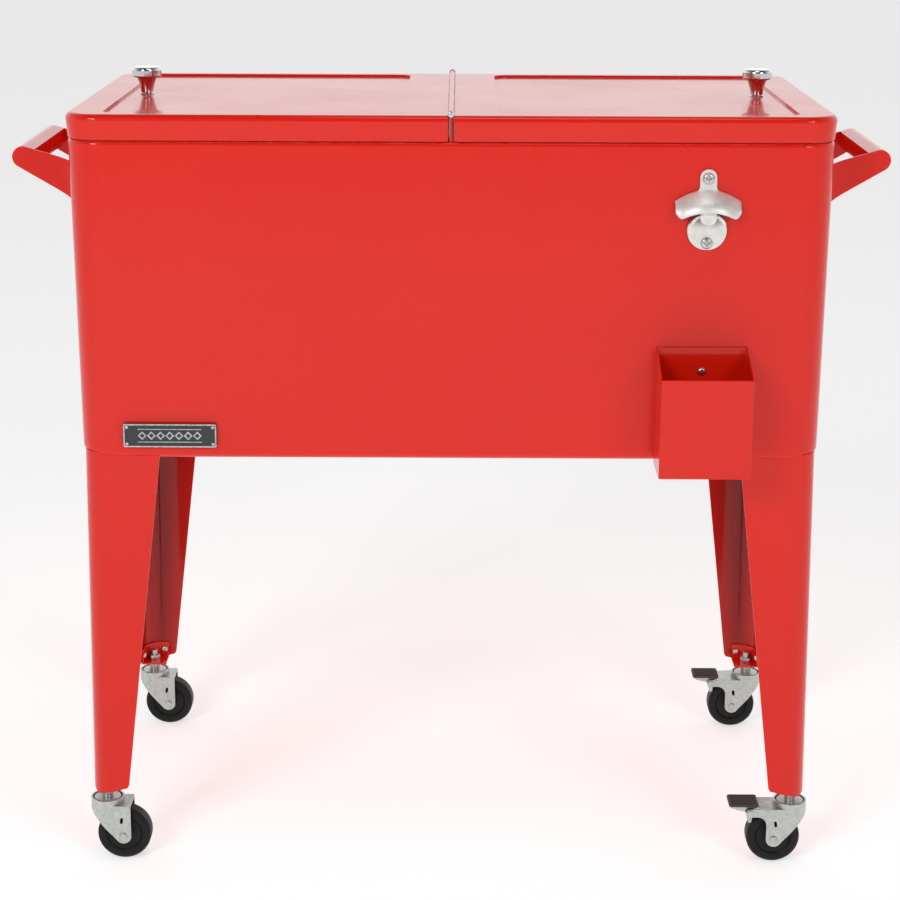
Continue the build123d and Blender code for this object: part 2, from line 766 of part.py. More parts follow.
with BuildPart() as bottle_opener:
    add(hood_outside)
    add(hood_inside, mode=Mode.SUBTRACT)
    with BuildSketch(opener_back):
        with Locations((0, disc_z)):
            Circle(disc_r)
        with Locations((0, opener_top_z - tongue_half)):
            Circle(tongue_half)
            Rectangle(2 * tongue_half, 45, align=(Align.CENTER, Align.MAX))
    extrude(amount=opener_plate)
    with BuildSketch(opener_back):
        with Locations((0, disc_z)):
            Circle(disc_r)
            Circle(disc_r - 2.6, mode=Mode.SUBTRACT)
            Rectangle(60, 60, align=(Align.CENTER, Align.MAX), mode=Mode.SUBTRACT)
    extrude(amount=11)
    with BuildSketch(opener_back.offset(8)):
        with Locations((0, opener_top_z - 44)):
            RectangleRounded(19, 19, 7)
    extrude(amount=5.5)
    add(opener_screws.part, mode=Mode.SUBTRACT)
bottle_opener.part.label = "bottle_opener"
export_step(bottle_opener.part, "parts/bottle_opener.step")

with BuildPart() as nameplate:
    with BuildSketch(facing_front(-catcher_back_y)):
        with Locations((nameplate_x, nameplate_z)):
            RectangleRounded(2 * nameplate_half[0], 2 * nameplate_half[1], 1.5)
    extrude(amount=nameplate_thick)
    with BuildSketch(facing_front(-catcher_back_y - nameplate_thick)):
        with Locations((nameplate_x, nameplate_z)):
            RectangleRounded(2 * nameplate_half[0], 2 * nameplate_half[1], 1.5)
            offset(amount=-1.4, mode=Mode.SUBTRACT)
    extrude(amount=0.8)
    with BuildSketch(facing_front(-catcher_back_y - nameplate_thick)):
        with Locations((nameplate_x, nameplate_z)):
            with GridLocations(9.5, 0, 7, 1):
                RegularPolygon(radius=4.6, side_count=4)
                RegularPolygon(radius=2.6, side_count=4, mode=Mode.SUBTRACT)
            with GridLocations(0, 13.5, 1, 2):
                Rectangle(66, 0.9)
    extrude(amount=0.7)
    add(nameplate_rivets.part, mode=Mode.SUBTRACT)
nameplate.part.label = "nameplate"
export_step(nameplate.part, "parts/nameplate.step")

# ---- legs and caster mounts: made at the front left corner and mirrored ----

leg_stock_z = tub_floor_z + 6  # the pressing is cut back from here to the tub's rounded edge
leg_length = leg_stock_z - leg_foot_z
leg_corner = Plane((-leg_top_x, tub_y - leg_top_y, leg_stock_z))
leg_path = Vector(-leg_splay_x, -leg_splay_y, -leg_length)


def leg_side(plane, outer, splay):
    """One side's outline, seen square on: its inner edge tapers and its foot slopes up."""
    inner_top = outer + leg_top_width
    inner_foot = outer + leg_foot_width - splay
    foot_rise = tan(radians(leg_foot_slope)) * leg_foot_width
    with BuildPart() as side:
        with BuildSketch(plane):
            with BuildLine():
                Polyline(
                    (outer - 20, leg_stock_z),
                    (inner_top, leg_stock_z),
                    (inner_foot, leg_foot_z + foot_rise + 3),
                    (inner_foot - 2, leg_foot_z + foot_rise - 0.5),
                    (outer - splay, leg_foot_z),
                    (outer - 20, leg_foot_z),
                    close=True,
                )
            make_face()
        extrude(amount=lid_half_x + 20, both=True)
    return side.part


leg_front_view = leg_side(facing_front(), -leg_top_x, leg_splay_x)
leg_side_view = leg_side(facing_side(), -leg_top_y, leg_splay_y)


def corner_prism(inset):
    """A square block with one rounded corner, leaning out along the leg, drawn in by inset."""
    with BuildPart() as prism:
        with BuildSketch(leg_corner) as section:
            with Locations((inset, inset)):
                Rectangle(150, 150, align=(Align.MIN, Align.MIN))
            fillet(section.vertices().sort_by_distance((0, 0, 0))[0], leg_corner_r - inset)
        extrude(amount=leg_path.length, dir=leg_path)
    return prism.part


leg_outside = corner_prism(0)
leg_inside = corner_prism(sheet)

with BuildPart() as leg_front_left:
    add(leg_outside)
    add(leg_inside, mode=Mode.SUBTRACT)
    add(leg_front_view, mode=Mode.INTERSECT)
    add(leg_side_view, mode=Mode.INTERSECT)
    add(tub_outside, mode=Mode.SUBTRACT)
    with BuildSketch(level(leg_flange_z - sheet)) as flange:
        with Locations((-leg_top_x, -leg_top_y)):
            Rectangle(76, 76, align=(Align.MIN, Align.MIN))
        corner, _, _, far_corner = flange.vertices().sort_by_distance((-leg_top_x, -leg_top_y, 0))
        fillet(corner, leg_corner_r)
        chamfer(far_corner, 40)
    extrude(amount=sheet)
    add(leg_bolts.part, mode=Mode.SUBTRACT)
leg_front_left.part.label = "leg_front_left"
export_step(leg_front_left.part, "parts/leg_front_left.step")
write_mirrored(leg_front_left.part, "leg_rear_left", front_back)
leg_front_right = write_mirrored(leg_front_left.part, "leg_front_right", left_right)
write_mirrored(leg_front_right, "leg_rear_right", front_back)


def write_corners(piece, name):
    """Writes the front left piece and its mirror images at the other three corners."""
    with BuildPart() as front_left:
        add(piece)
    front_left.part.label = f"{name}_front_left"
    export_step(front_left.part, f"parts/{name}_front_left.step")
    write_mirrored(piece, f"{name}_rear_left", front_back)
    front_right = write_mirrored(piece, f"{name}_front_right", left_right)
    write_mirrored(front_right, f"{name}_rear_right", front_back)


# bracket: a small angle inside the foot that carries the caster's stem, on studs welded to the leg
bracket_z = 81.0
bracket_reach = 30.0
bracket_out = caster_inset - sheet - 0.5  # from the swivel axis to the bracket's outer faces
bracket_bolt_z = 92.0
bolt_setback = 11.5  # bolts sit this far inward of the swivel axis
stem_r = 4.0

bolt_from_front = Plane(
    origin=(-caster_x + bolt_setback, tub_y - caster_y - bracket_out + plate, bracket_bolt_z),
    x_dir=(-1, 0, 0),
    z_dir=(0, 1, 0),
)
bolt_from_side = Plane(
    origin=(-caster_x - bracket_out + plate, tub_y - caster_y + bolt_setback, bracket_bolt_z),
    x_dir=(0, 1, 0),
    z_dir=(1, 0, 0),
)


def at_corners(piece):
    """The front left piece and its mirror images at the other three corners, in one part."""
    with BuildPart() as group:
        add(piece)
        for about in (left_right, front_back):
            add(mirror(group.part, about=about, mode=Mode.PRIVATE))
    return group.part


with BuildPart() as corner_bolts:
    for bolt_plane in (bolt_from_front, bolt_from_side):
        add(fasteners(bolt_plane, [(0, 0)], 4.2, 3.0, 2.5, plate + 0.2, cross=False))

with BuildPart() as bracket_bolts:
    add(at_corners(corner_bolts.part))
bracket_bolts.part.label = "bracket_bolts"
export_step(bracket_bolts.part, "parts/bracket_bolts.step")

with BuildPart() as caster_bracket:
    with BuildSketch(corner_level(bracket_z)) as bracket_plan:
        with Locations((-bracket_out, -bracket_out)):
            Rectangle(bracket_reach, bracket_reach, align=(Align.MIN, Align.MIN))
        vertices = bracket_plan.vertices().sort_by_distance((-bracket_out, -bracket_out, 0))
        fillet(vertices[0], leg_corner_r - sheet)
        fillet(vertices[3], 6)
    extrude(amount=20)
    with BuildSketch(corner_level(bracket_z + plate)) as bracket_room:
        with Locations((plate - bracket_out, plate - bracket_out)):
            Rectangle(bracket_reach, bracket_reach, align=(Align.MIN, Align.MIN))
        vertices = bracket_room.vertices().sort_by_distance((-bracket_out, -bracket_out, 0))
        fillet(vertices[0], leg_corner_r - sheet - plate)
    extrude(amount=30, mode=Mode.SUBTRACT)
    with BuildSketch(corner_level(bracket_z)):
        Circle(stem_r)
    extrude(amount=plate, mode=Mode.SUBTRACT)
    add(corner_bolts.part, mode=Mode.SUBTRACT)
write_corners(caster_bracket.part, "caster_bracket")

# ---- casters: made at the front left corner, seen with the trail to the right, and mirrored ----

axle_z = wheel_r
axle_r = 3.0
kingpin_r = 4.0
race_r = 14.5
swivel_axis = Axis((-caster_x, tub_y - caster_y, 0), (0, 0, 1))
wheel_axis = Axis((-caster_x + caster_trail, tub_y - caster_y, axle_z), (0, 1, 0))

# stem: threaded shank above a shoulder and race, and the kingpin that the fork turns on
with BuildPart() as caster_stem:
    with BuildSketch(corner_side):
        with BuildLine():
            Polyline(
                (0, crown_z - plate - 3.5),
                (6, crown_z - plate - 3.5),
                (6, crown_z - plate - 0.3),
                (kingpin_r, crown_z - plate - 0.3),
                (kingpin_r, cup_rim_z - 3.5),
                (race_r, cup_rim_z - 3.5),
                (race_r, cup_rim_z - 0.5),
                (6, cup_rim_z - 0.5),
                (6, bracket_z),
                (stem_r, bracket_z),
                (stem_r, bracket_z + 14),
                (stem_r - 1, bracket_z + 15),
                (0, bracket_z + 15),
                close=True,
            )
        make_face()
    revolve(axis=swivel_axis)
write_corners(caster_stem.part, "caster_stem")

with BuildPart() as stem_nut:
    with BuildSketch(corner_level(bracket_z + plate)):
        RegularPolygon(radius=7.2, side_count=6)
        Circle(stem_r, mode=Mode.SUBTRACT)
    extrude(amount=6)

with BuildPart() as stem_nuts:
    add(at_corners(stem_nut.part))
stem_nuts.part.label = "stem_nuts"
export_step(stem_nuts.part, "parts/stem_nuts.step")

boss_r = 8.5
fork_tail = 26.5  # from the swivel axis to the cheeks' upright trailing edge
ear_tip = (44.5, 59.5)  # the brake's pivot
ear_r = 4.5
ear_bend_r = 10.0
brake_pin_r = 2.0
crown_tail = 35.0  # end of the braked fork's crown


def fork(braked):
    """A pressed fork: crown, two cheeks and a cup for the race; the braked one has ears behind."""
    with BuildPart() as piece:
        with BuildSketch(corner_side):
            with Locations((caster_trail, axle_z)):
                Circle(boss_r)
            with BuildLine():
                Polyline(
                    (-cup_r, crown_z - 6),
                    (fork_tail, crown_z - 6),
                    (fork_tail, crown_z),
                    (-cup_r, crown_z),
                    close=True,
                )
            make_face()
            make_hull()
            if braked:
                with Locations(ear_tip):
                    Circle(ear_r)
                    Rectangle(ear_tip[0], 2 * ear_r, align=(Align.MAX, Align.CENTER))
                with Locations((fork_tail, ear_tip[1] - ear_r)):
                    Rectangle(ear_bend_r, ear_bend_r, align=(Align.MIN, Align.MAX))
                with Locations((fork_tail + ear_bend_r, ear_tip[1] - ear_r - ear_bend_r)):
                    Circle(ear_bend_r, mode=Mode.SUBTRACT)
        extrude(amount=cup_r, both=True)
        with BuildSketch(corner_level(0)):
            Circle(cup_r)
            Rectangle(60, 2 * fork_half, align=(Align.MIN, Align.CENTER))
        extrude(amount=crown_z, mode=Mode.INTERSECT)
        with BuildSketch(corner_level(0)):
            Circle(cup_r - plate)
            Rectangle(60, 2 * (fork_half - plate), align=(Align.MIN, Align.CENTER))
        extrude(amount=crown_z - plate, mode=Mode.SUBTRACT)
        if braked:
            with BuildSketch(corner_level(0)):
                with Locations((crown_tail, 0)):
                    Rectangle(60, 2 * (fork_half - plate), align=(Align.MIN, Align.CENTER))
            extrude(amount=crown_z, mode=Mode.SUBTRACT)
        with BuildSketch(corner_level(crown_z)):
            Circle(cup_r)
            Circle(cup_r - plate, mode=Mode.SUBTRACT)
        extrude(amount=cup_rim_z - crown_z)
        with BuildSketch(corner_level(crown_z)):
            Circle(kingpin_r + clearance)
        extrude(amount=2 * plate, both=True, mode=Mode.SUBTRACT)
        with BuildSketch(corner_side):
            with Locations((caster_trail, axle_z)):
                Circle(axle_r)
            with Locations((caster_trail - 1.5, axle_z + 18)):
                SlotOverall(7, 3, rotation=80)
            if braked:
                with Locations(ear_tip):
                    Circle(brake_pin_r + clearance)
        extrude(amount=2 * cup_r, both=True, mode=Mode.SUBTRACT)
    return piece.part


def write_side(piece, name, side):
    """Writes the front left piece and its mirror image at the rear, or both of them at the right."""
    with BuildPart() as front:
        add(piece if side == "left" else mirror(piece, about=left_right, mode=Mode.PRIVATE))
    front.part.label = f"{name}_front_{side}"
    export_step(front.part, f"parts/{name}_front_{side}.step")
    write_mirrored(front.part, f"{name}_rear_{side}", front_back)


write_side(fork(braked=False), "caster_fork", "left")
write_side(fork(braked=True), "caster_fork", "right")

with BuildPart() as wheel_axle:
    with BuildSketch(corner_side):
        with Locations((caster_trail, axle_z)):
            Circle(axle_r)
    extrude(amount=fork_half, both=True)
    for end in (-1, 1):
        with BuildSketch(corner_side.offset(end * (fork_half + 0.9))):
            with Locations((caster_trail, axle_z)):
                Circle(axle_r + 1)
        extrude(amount=0.9, both=True)
    fillet(wheel_axle.faces().sort_by(Axis.Y)[0].edges(), 1.2)
    fillet(wheel_axle.faces().sort_by(Axis.Y)[-1].edges(), 1.2)
write_corners(wheel_axle.part, "wheel_axle")

# wheel: a rounded tread, a recessed web and a hub, drawn as half of its section
tread_half = wheel_width / 2
shoulder_r = 4.5
hub_half = fork_half - plate - 2
web_half = tread_half - 2.5
wheel_middle = Plane(
    origin=(-caster_x + caster_trail, tub_y - caster_y, axle_z), x_dir=(0, 1, 0), z_dir=(1, 0, 0)
)

with BuildPart() as wheel:
    with BuildSketch(wheel_middle):
        with BuildLine():
            Polyline(
                (0, axle_r + clearance),
                (hub_half, axle_r + clearance),
                (hub_half, 7.5),
                (web_half, 8.5),
                (web_half, 18.0),
                (tread_half - 0.5, 20.0),
                (tread_half, wheel_r - shoulder_r),
            )
            RadiusArc(
                (tread_half, wheel_r - shoulder_r), (tread_half - shoulder_r, wheel_r), -shoulder_r
            )
            Polyline(
                (tread_half - shoulder_r, wheel_r), (0, wheel_r), (0, axle_r + clearance)
            )
        make_face()
        mirror(about=Plane.YZ)
    revolve(axis=wheel_axis)
write_corners(wheel.part, "wheel")

# brake: a metal lever between the fork's ears, its shoe behind the tread, under a ribbed pedal
lever_half = 13.0
lever_top_z = 65.5
pedal_half = 14.0
pedal_near = 35.3
pedal_far = 67.2
pedal_thick = 3.2
shoe_foot_z = 47.2

with BuildPart() as brake_lever:
    with BuildSketch(corner_side):
        with Locations(ear_tip):
            Circle(ear_r)
        with BuildLine():
            Polyline(
                (36.5, lever_top_z),
                (36.5, lever_top_z - plate),
                (40, lever_top_z - plate),
                (43, shoe_foot_z),
                (46, shoe_foot_z),
                (49.5, ear_tip[1]),
                (65, lever_top_z - plate),
                (65, lever_top_z),
                close=True,
            )
        make_face()
    extrude(amount=lever_half, both=True)
    with BuildSketch(corner_side):
        with BuildLine():
            Polyline(
                (30, lever_top_z - plate),
                (70, lever_top_z - plate),
                (70, shoe_foot_z - 1),
                (30, shoe_foot_z - 1),
                close=True,
            )
        make_face()
    extrude(amount=lever_half - plate, both=True, mode=Mode.SUBTRACT)
    with BuildSketch(corner_side):
        with BuildLine():
            Polyline(
                (43, shoe_foot_z),
                (43 + plate, shoe_foot_z),
                (43 + plate, lever_top_z - 1),
                (43, lever_top_z - 1),
                close=True,
            )
        make_face()
    extrude(amount=9, both=True)
    with BuildSketch(corner_side):
        with Locations(ear_tip):
            Circle(brake_pin_r)
    extrude(amount=fork_half + 0.2, both=True)
    for end in (-1, 1):
        with BuildSketch(corner_side.offset(end * (fork_half + 0.8))):
            with Locations(ear_tip):
                Circle(3.4)
        extrude(amount=0.6, both=True)
brake_lever_front = write_mirrored(brake_lever.part, "brake_lever_front", left_right)
write_mirrored(brake_lever_front, "brake_lever_rear", front_back)

with BuildPart() as brake_pedal:
    with BuildSketch(corner_level(lever_top_z)):
        with Locations(((pedal_near + pedal_far) / 2, 0)):
            RectangleRounded(pedal_far - pedal_near, 2 * pedal_half, 2.5)
    extrude(amount=pedal_thick)
    fillet(brake_pedal.faces().sort_by(Axis.Z)[-1].edges(), 1.0)
    with BuildSketch(corner_level(lever_top_z + pedal_thick)):
        with Locations(((pedal_near + pedal_far) / 2, 0)):
            with GridLocations(0, 4.2, 1, 6):
                Rectangle(pedal_far - pedal_near - 5, 1.8)
    extrude(amount=0.8)
brake_pedal_front = write_mirrored(brake_pedal.part, "brake_pedal_front", left_right)
write_mirrored(brake_pedal_front, "brake_pedal_rear", front_back)
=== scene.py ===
import json
from math import cos, pi, radians, sin, sqrt

import bmesh
import bpy
from mathutils import Matrix, Vector

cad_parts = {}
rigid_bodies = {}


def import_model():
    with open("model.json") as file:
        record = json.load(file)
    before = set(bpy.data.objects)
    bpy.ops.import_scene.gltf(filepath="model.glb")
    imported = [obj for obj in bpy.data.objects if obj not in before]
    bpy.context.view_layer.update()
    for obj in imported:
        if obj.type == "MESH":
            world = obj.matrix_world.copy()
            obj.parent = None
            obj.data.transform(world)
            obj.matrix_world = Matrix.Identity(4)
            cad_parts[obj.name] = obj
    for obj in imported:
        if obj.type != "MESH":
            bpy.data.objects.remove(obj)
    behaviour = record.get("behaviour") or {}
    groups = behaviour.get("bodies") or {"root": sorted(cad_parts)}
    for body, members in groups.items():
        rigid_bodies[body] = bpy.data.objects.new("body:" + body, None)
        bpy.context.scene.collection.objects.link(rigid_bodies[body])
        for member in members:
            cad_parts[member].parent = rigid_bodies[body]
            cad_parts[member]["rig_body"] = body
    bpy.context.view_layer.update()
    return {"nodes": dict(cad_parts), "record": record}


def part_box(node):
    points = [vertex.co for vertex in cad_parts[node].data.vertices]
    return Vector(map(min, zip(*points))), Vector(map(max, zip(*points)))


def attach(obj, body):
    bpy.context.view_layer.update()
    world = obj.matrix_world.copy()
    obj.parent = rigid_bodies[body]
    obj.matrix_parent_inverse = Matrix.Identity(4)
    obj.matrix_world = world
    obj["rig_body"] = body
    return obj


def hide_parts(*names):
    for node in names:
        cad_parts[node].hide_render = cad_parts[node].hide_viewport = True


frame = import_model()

# Looks of the rolling cooler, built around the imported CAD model. Metres, in the model's own frame:
# +X right along the front, +Y to the back, +Z up, with the floor at 0.

nodes = frame["nodes"]
mm = 0.001

tub_low, tub_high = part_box("tub_shell")
tub_y = (tub_low.y + tub_high.y) / 2

# ---------------------------------------------------------------- node helpers


def add_node(tree, kind, inputs=None, **settings):
    """A shader node with its settings and inputs, each input a value or another node's socket."""
    node = tree.nodes.new(kind)
    for name, value in settings.items():
        setattr(node, name, value)
    for name, value in (inputs or {}).items():
        if isinstance(value, bpy.types.NodeSocket):
            tree.links.new(value, node.inputs[name])
        else:
            node.inputs[name].default_value = value
    return node


def new_material(name, **settings):
    """A Principled material, its plain settings made on the shader's own sockets."""
    material = bpy.data.materials.new(name)
    material.use_nodes = True
    shader = material.node_tree.nodes["Principled BSDF"]
    for socket, value in settings.items():
        shader.inputs[socket.replace("_", " ")].default_value = value
    return material, material.node_tree, shader


def place(tree):
    """Position on the object, in metres."""
    return add_node(tree, "ShaderNodeTexCoord").outputs["Object"]


def noise(tree, scale, detail=2.0):
    """Fractal noise over the object's own position, with scale in cells per metre."""
    inputs = {"Vector": place(tree), "Scale": scale, "Detail": detail}
    return add_node(tree, "ShaderNodeTexNoise", inputs).outputs[0]


def remap(tree, value, low, high, out_low, out_high):
    """A value taken from one range to another, and held there."""
    node = add_node(
        tree,
        "ShaderNodeMapRange",
        {"Value": value, "From Min": low, "From Max": high, "To Min": out_low, "To Max": out_high},
    )
    return node.outputs[0]


def mix_color(tree, factor, low, high):
    """A colour between two, each a colour or a socket."""
    node = add_node(tree, "ShaderNodeMix", data_type="RGBA")
    for index, value in ((0, factor), (6, low), (7, high)):
        if isinstance(value, bpy.types.NodeSocket):
            tree.links.new(value, node.inputs[index])
        else:
            node.inputs[index].default_value = value
    return node.outputs[2]


def multiply(tree, first, second):
    """The product of two values."""
    return add_node(tree, "ShaderNodeMath", {0: first, 1: second}, operation="MULTIPLY").outputs[0]


def edge_mask(tree, radius):
    """Near 1 on sharp outer and inner edges and 0 on flats."""
    rounded = add_node(tree, "ShaderNodeBevel", {"Radius": radius}, samples=4).outputs[0]
    surface = add_node(tree, "ShaderNodeNewGeometry").outputs["Normal"]
    likeness = add_node(tree, "ShaderNodeVectorMath", {0: rounded, 1: surface}, operation="DOT_PRODUCT")
    return remap(tree, likeness.outputs["Value"], 0.99, 0.80, 0.0, 1.0)


def crevice_mask(tree, reach, open_at=0.75, shut_at=0.25, alone=False):
    """Near 1 deep in corners and gaps narrower than the reach, and 0 in the open."""
    openness = add_node(
        tree, "ShaderNodeAmbientOcclusion", {"Distance": reach}, samples=4, only_local=alone
    )
    return remap(tree, openness.outputs["AO"], open_at, shut_at, 0.0, 1.0)


def set_bump(tree, shader, height, distance, strength=1.0):
    """Fine relief on the surface, its height in metres."""
    node = add_node(
        tree, "ShaderNodeBump", {"Height": height, "Distance": distance, "Strength": strength}
    )
    tree.links.new(node.outputs[0], shader.inputs["Normal"])


# ---------------------------------------------------------------- camera, light and floor


camera_lens, camera_sensor = 88.34, 36.0  # millimetres
camera_x, camera_ahead, camera_z = 0.007, 2.4181, 1.071  # metres, ahead of the tub's middle
camera_turn, camera_pitch, camera_roll = 0.0031, 0.2670, 0.0038  # radians
floor_half = 40.0
floor_glow = 0.50


def make_camera():
    """The photograph's viewpoint: from the front, a little above the lid, looking slightly down."""
    data = bpy.data.cameras.new("camera")
    data.lens = camera_lens
    data.sensor_width = camera_sensor
    data.clip_end = 100.0
    camera = bpy.data.objects.new("camera", data)
    bpy.context.scene.collection.objects.link(camera)
    camera.matrix_world = (
        Matrix.Translation((camera_x, tub_y - camera_ahead, camera_z))
        @ Matrix.Rotation(camera_turn, 4, "Z")
        @ Matrix.Rotation(pi / 2 - camera_pitch, 4, "X")
        @ Matrix.Rotation(camera_roll, 4, "Z")
    )
    bpy.context.scene.camera = camera


def area_light(name, position, target, size, power):
    """A soft square light of that power in watts, aimed at a point."""
    data = bpy.data.lights.new(name, "AREA")
    data.shape = "SQUARE"
    data.size = size
    data.energy = power
    lamp = bpy.data.objects.new(name, data)
    bpy.context.scene.collection.objects.link(lamp)
    aim = (Vector(target) - Vector(position)).to_track_quat("-Z", "Y")
    lamp.matrix_world = Matrix.Translation(position) @ aim.to_matrix().to_4x4()


def make_world():
    """Studio surroundings: a bright low backdrop behind the object, dim overhead and at the front."""
    world = bpy.data.worlds.new("studio")
    bpy.context.scene.world = world
    world.use_nodes = True
    tree = world.node_tree
    background = tree.nodes["Background"]
    direction = add_node(tree, "ShaderNodeTexCoord").outputs["Generated"]
    split = add_node(tree, "ShaderNodeSeparateXYZ", {0: direction}).outputs
    backdrop = remap(tree, split["Y"], -0.6, 0.3, 0.12, 1.15)
    overhead = remap(tree, split["Z"], 0.35, 0.9, 1.0, 0.12)
    tree.links.new(multiply(tree, backdrop, overhead), background.inputs["Strength"])
    background.inputs["Color"].default_value = (1.0, 1.0, 1.0, 1.0)


def make_floor():
    """A plain pale floor, with a little glow of its own so that it reads as white."""
    mesh = bpy.data.meshes.new("floor")
    corners = [(x * floor_half, y * floor_half, 0) for x, y in ((-1, -1), (1, -1), (1, 1), (-1, 1))]
    mesh.from_pydata(corners, [], [(0, 1, 2, 3)])
    floor = bpy.data.objects.new("floor", mesh)
    bpy.context.scene.collection.objects.link(floor)
    material, _, _ = new_material(
        "floor_white",
        Base_Color=(0.85, 0.85, 0.85, 1.0),
        Roughness=0.9,
        Specular_IOR_Level=0.1,
        Emission_Color=(1.0, 1.0, 1.0, 1.0),
        Emission_Strength=floor_glow,
    )
    mesh.materials.append(material)


make_camera()
make_world()
make_floor()
area_light("top_softbox", (0.2, tub_y - 0.75, 3.0), (0, tub_y - 0.2, 0.7), 0.9, 8)
area_light("key_left", (-1.9, tub_y - 3.4, 2.5), (0, tub_y, 0.5), 1.4, 57)
area_light("fill_right", (2.1, tub_y - 3.3, 2.1), (0, tub_y, 0.5), 1.4, 31)
bpy.context.scene.view_settings.view_transform = "Standard"

# ---------------------------------------------------------------- materials


def red_powder_coat(name, painted_shade_amount=0.0):
    """Glossy red powder coat: faint orange peel, slow changes of tone, thinner at sharp edges.

    Given a shade amount from 0 to 1, the inner side of a folded sheet gets painted shade, its colour
    darkened where the fold keeps light away.
    """
    material, tree, shader = new_material(
        name, Specular_IOR_Level=0.1, Coat_Weight=0.5, Coat_Roughness=0.045
    )
    slow = remap(tree, noise(tree, 5.0, 3.0), 0.25, 0.75, 0.0, 1.0)
    red = mix_color(tree, slow, (0.715, 0.0125, 0.0040, 1), (0.740, 0.0145, 0.0052, 1))
    broken = remap(tree, noise(tree, 240.0, 3.0), 0.42, 0.62, 0.0, 0.55)
    worn = multiply(tree, edge_mask(tree, 0.6 * mm), broken)
    if painted_shade_amount:
        # Painted shade: the inner side of the fold darkens towards near black, standing in for the
        # shade under the tub.
        painted_shade_mask = crevice_mask(tree, 150 * mm, 0.97, 0.84, alone=True)
        red = mix_color(tree, multiply(tree, painted_shade_mask, painted_shade_amount), red, (0.12, 0.002, 0.001, 1))
    tree.links.new(mix_color(tree, worn, red, (0.86, 0.20, 0.15, 1)), shader.inputs["Base Color"])
    smears = remap(tree, noise(tree, 9.0, 2.0), 0.2, 0.8, 0.22, 0.30)
    tree.links.new(smears, shader.inputs["Roughness"])
    set_bump(tree, shader, noise(tree, 700.0, 2.0), 0.035 * mm, 0.6)
    return material


def white_liner():
    """Smooth white moulded plastic of the inner tub and the lids' pans."""
    material, tree, shader = new_material("white_liner", Subsurface_Weight=0.05)
    tone = remap(tree, noise(tree, 9.0, 4.0), 0.3, 0.7, 0.0, 1.0)
    white = mix_color(tree, tone, (0.80, 0.80, 0.77, 1), (0.86, 0.86, 0.84, 1))
    tree.links.new(white, shader.inputs["Base Color"])
    tree.links.new(remap(tree, noise(tree, 40.0), 0.3, 0.7, 0.28, 0.42), shader.inputs["Roughness"])
    set_bump(tree, shader, noise(tree, 1500.0), 0.02 * mm)
    return material


def rigid_foam():
    """Cream rigid foam with small cells."""
    material, tree, shader = new_material("rigid_foam", Roughness=0.95)
    cells = add_node(tree, "ShaderNodeTexVoronoi", {"Vector": place(tree), "Scale": 900.0}).outputs[0]
    cream = mix_color(tree, noise(tree, 60.0), (0.72, 0.64, 0.42, 1), (0.85, 0.79, 0.58, 1))
    tree.links.new(cream, shader.inputs["Base Color"])
    set_bump(tree, shader, cells, 0.3 * mm)
    return material


def metal(name, dark, light, roughness, grain, grain_depth, metallic=1.0, crevice_shade_reach=1.5 * mm):
    """A bare or plated metal: blotches of tone and polish, fine grain, bright edges, and painted shade
    darkening its corners and gaps.
    """
    material, tree, shader = new_material(name, Metallic=metallic)
    blotches = remap(tree, noise(tree, 120.0, 4.0), 0.3, 0.7, 0.0, 1.0)
    tone = mix_color(tree, blotches, (*dark, 1), (*light, 1))
    rubbed = tuple(min(1.0, 1.25 * c) for c in light)
    worn = mix_color(tree, edge_mask(tree, 0.35 * mm), tone, (*rubbed, 1))
    # Painted shade: the colour darkens to near black in corners and gaps, where shade falls.
    crevice_shade = multiply(tree, crevice_mask(tree, crevice_shade_reach), 0.85)
    worn = mix_color(tree, crevice_shade, worn, (0.045, 0.038, 0.030, 1))
    tree.links.new(worn, shader.inputs["Base Color"])
    polish = remap(tree, noise(tree, 300.0, 3.0), 0.3, 0.7, *roughness)
    tree.links.new(polish, shader.inputs["Roughness"])
    set_bump(tree, shader, noise(tree, grain, 3.0), grain_depth)
    return material


def zinc_plate():
    """Pale, slightly green zinc plating with a soft spangle, a few dull rub marks, and painted shade in
    its corners and gaps.
    """
    material, tree, shader = new_material("zinc_plate", Metallic=0.85)
    spangle = add_node(tree, "ShaderNodeTexVoronoi", {"Vector": place(tree), "Scale": 260.0})
    cell = add_node(tree, "ShaderNodeRGBToBW", {"Color": spangle.outputs["Color"]}).outputs[0]
    tone = mix_color(tree, cell, (0.43, 0.475, 0.445, 1), (0.54, 0.59, 0.555, 1))
    worn = mix_color(tree, edge_mask(tree, 0.4 * mm), tone, (0.86, 0.90, 0.87, 1))
    # Painted shade: the plating darkens in corners and gaps, where shade falls.
    crevice_shade = multiply(tree, crevice_mask(tree, 5.0 * mm), 0.8)
    worn = mix_color(tree, crevice_shade, worn, (0.060, 0.048, 0.036, 1))
    tree.links.new(worn, shader.inputs["Base Color"])
    polish = remap(tree, noise(tree, 180.0, 4.0), 0.3, 0.7, 0.24, 0.40)
    tree.links.new(polish, shader.inputs["Roughness"])
    set_bump(tree, shader, noise(tree, 900.0, 3.0), 0.03 * mm)
    return material


def hard_rubber():
    """Near-black hard rubber, matt, with faint dust on the tread."""
    material, tree, shader = new_material("hard_rubber", Specular_IOR_Level=0.3)
    dust = remap(tree, noise(tree, 90.0, 5.0), 0.45, 0.75, 0.0, 0.6)
    tone = mix_color(tree, dust, (0.0030, 0.0036, 0.0040, 1), (0.011, 0.011, 0.011, 1))
    tree.links.new(tone, shader.inputs["Base Color"])
    tree.links.new(remap(tree, noise(tree, 50.0), 0.3, 0.7, 0.42, 0.62), shader.inputs["Roughness"])
    set_bump(tree, shader, noise(tree, 1400.0, 3.0), 0.05 * mm)
    return material


